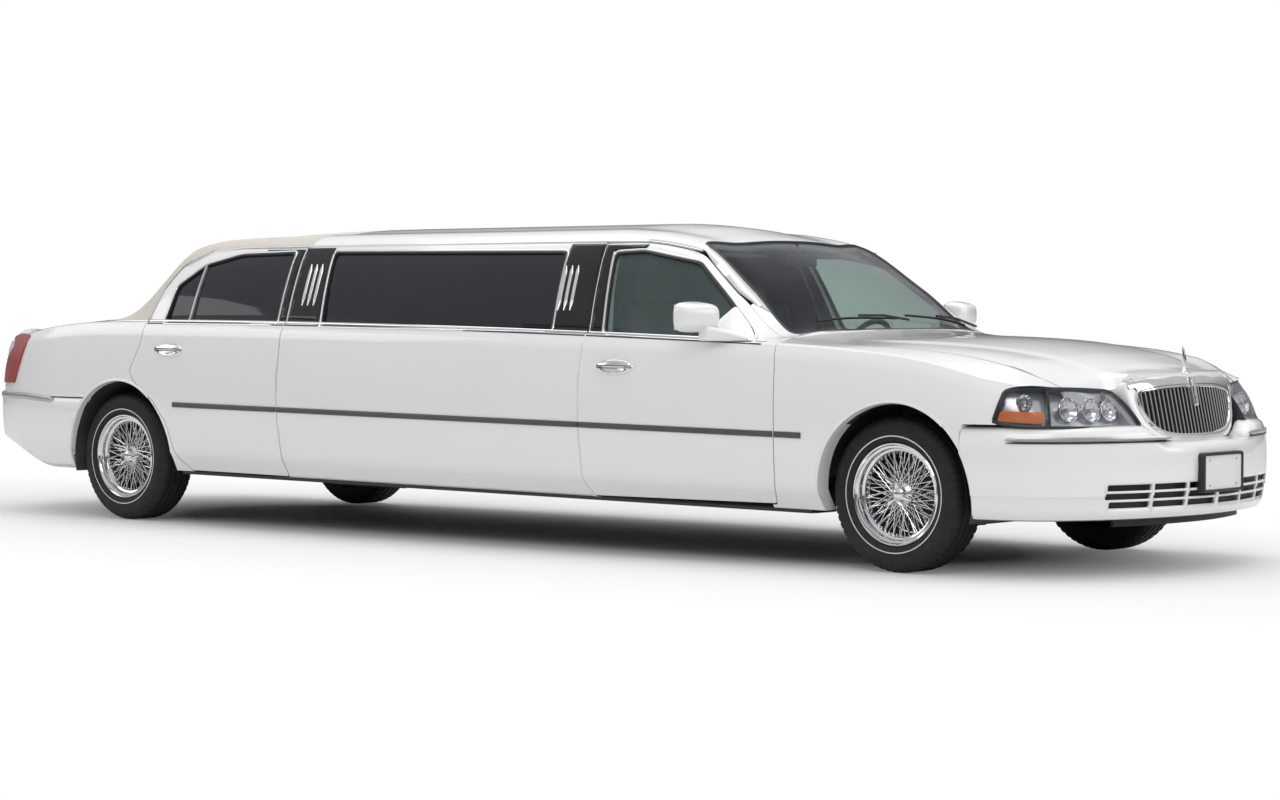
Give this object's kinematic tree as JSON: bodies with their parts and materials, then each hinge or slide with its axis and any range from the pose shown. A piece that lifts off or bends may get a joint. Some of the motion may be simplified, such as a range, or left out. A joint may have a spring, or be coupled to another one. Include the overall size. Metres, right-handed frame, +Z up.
{
  "type": "stretch limousine",
  "caption": "Stretch limousine with a lengthened cabin, opening doors, hood and boot lid, steered front wheels and a padded half top.",
  "frame": {"origin": "on the ground, at the centre of the whole vehicle's length and width", "axes": "+X towards the front, +Y towards the left side, +Z up"},
  "size_m": [7.52, 2.258, 1.54],
  "materials": {
    "body_paint": "gloss",
    "roof_vinyl": "grained",
    "clear_glass": "clear",
    "dark_glass": "dark tint",
    "bright_trim": "polished",
    "lamp_lens": "clear",
    "red_lens": "gloss",
    "black_plastic": "satin",
    "underbody": "matte",
    "engine_metal": "rough",
    "axle_steel": "painted",
    "exhaust_steel": "dull",
    "seat_leather": "grained",
    "dash_plastic": "grained",
    "tyre_rubber": "matte",
    "wheel_chrome": "polished"
  },
  "bodies": {
    "root": {"roof": "body_paint", "vinyl_top": "roof_vinyl", "stretch_panels": "body_paint", "front_fenders": "body_paint", "quarter_panels": "body_paint", "sills": "black_plastic", "windscreen": "clear_glass", "rear_window": "dark_glass", "stretch_windows": "dark_glass", "headlights": "lamp_lens", "tail_lights": "red_lens", "front_bumper": "body_paint", "rear_bumper": "body_paint", "floor_pan": "underbody", "bulkheads": "underbody", "wheel_housings": "black_plastic", "radiator": "black_plastic", "ladder_frame": "underbody", "engine": "engine_metal", "front_suspension": "axle_steel", "rear_axle": "axle_steel", "driveshaft": "axle_steel", "exhaust": "exhaust_steel", "fuel_tank": "underbody", "dashboard": "dash_plastic", "front_seats": "seat_leather", "rear_seats": "seat_leather", "hinges": "axle_steel"},
    "steering_wheel": {"steering_wheel": "dash_plastic"},
    "knuckle_left": {"knuckle_left": "axle_steel"},
    "knuckle_right": {"knuckle_right": "axle_steel"},
    "front_wheel_left": {"tyre_front_left": "tyre_rubber", "wheel_front_left": "wheel_chrome"},
    "front_wheel_right": {"tyre_front_right": "tyre_rubber", "wheel_front_right": "wheel_chrome"},
    "rear_wheel_left": {"tyre_rear_left": "tyre_rubber", "wheel_rear_left": "wheel_chrome"},
    "rear_wheel_right": {"tyre_rear_right": "tyre_rubber", "wheel_rear_right": "wheel_chrome"},
    "front_door_left": {"front_door_left": "body_paint", "front_glass_left": "clear_glass", "mirror_left": "body_paint"},
    "front_door_right": {"front_door_right": "body_paint", "front_glass_right": "clear_glass", "mirror_right": "body_paint"},
    "rear_door_left": {"rear_door_left": "body_paint", "rear_glass_left": "dark_glass"},
    "rear_door_right": {"rear_door_right": "body_paint", "rear_glass_right": "dark_glass"},
    "hood": {"hood": "body_paint", "grille": "bright_trim"},
    "boot_lid": {"boot_lid": "body_paint"}
  },
  "joints": [
    {"name": "steer_left", "type": "hinge", "parent": "root", "child": "knuckle_left", "pos_m": [2.68, 0.74, 0.338], "axis": [0, 0, 1], "range_deg": [-33, 33]},
    {"name": "steer_right", "type": "hinge", "parent": "root", "child": "knuckle_right", "pos_m": [2.68, -0.74, 0.338], "axis": [0, 0, 1], "range_deg": [-33, 33]},
    {"name": "steering_turn", "type": "hinge", "parent": "root", "child": "steering_wheel", "pos_m": [1.57, 0.37, 0.905], "axis": [-0.9063, 0, 0.4226], "range_deg": [-528, 528]},
    {"name": "front_roll_left", "type": "hinge", "parent": "knuckle_left", "child": "front_wheel_left", "pos_m": [2.68, 0.805, 0.338], "axis": [0, 1, 0], "continuous": true},
    {"name": "front_roll_right", "type": "hinge", "parent": "knuckle_right", "child": "front_wheel_right", "pos_m": [2.68, -0.805, 0.338], "axis": [0, 1, 0], "continuous": true},
    {"name": "rear_roll_left", "type": "hinge", "parent": "root", "child": "rear_wheel_left", "pos_m": [-2.36, 0.83, 0.338], "axis": [0, 1, 0], "continuous": true},
    {"name": "rear_roll_right", "type": "hinge", "parent": "root", "child": "rear_wheel_right", "pos_m": [-2.36, -0.83, 0.338], "axis": [0, 1, 0], "continuous": true},
    {"name": "front_door_swing_left", "type": "hinge", "parent": "root", "child": "front_door_left", "pos_m": [2.06, 0.996, 0.65], "axis": [0, 0, -1], "range_deg": [0, 65]},
    {"name": "front_door_swing_right", "type": "hinge", "parent": "root", "child": "front_door_right", "pos_m": [2.06, -0.996, 0.65], "axis": [0, 0, 1], "range_deg": [0, 65]},
    {"name": "rear_door_swing_left", "type": "hinge", "parent": "root", "child": "rear_door_left", "pos_m": [-1.098, 0.996, 0.65], "axis": [0, 0, -1], "range_deg": [0, 65]},
    {"name": "rear_door_swing_right", "type": "hinge", "parent": "root", "child": "rear_door_right", "pos_m": [-1.098, -0.996, 0.65], "axis": [0, 0, 1], "range_deg": [0, 65]},
    {"name": "hood_lift", "type": "hinge", "parent": "root", "child": "hood", "pos_m": [2.045, 0, 1.035], "axis": [0, -1, 0], "range_deg": [0, 50]},
    {"name": "boot_lift", "type": "hinge", "parent": "root", "child": "boot_lid", "pos_m": [-2.622, 0, 1.078], "axis": [0, 1, 0], "range_deg": [0, 60]}
  ],
  "couplings": [
    {"joint": "steer_right", "follows": "steer_left", "ratio": 1},
    {"joint": "steering_turn", "follows": "steer_left", "ratio": 16}
  ]
}
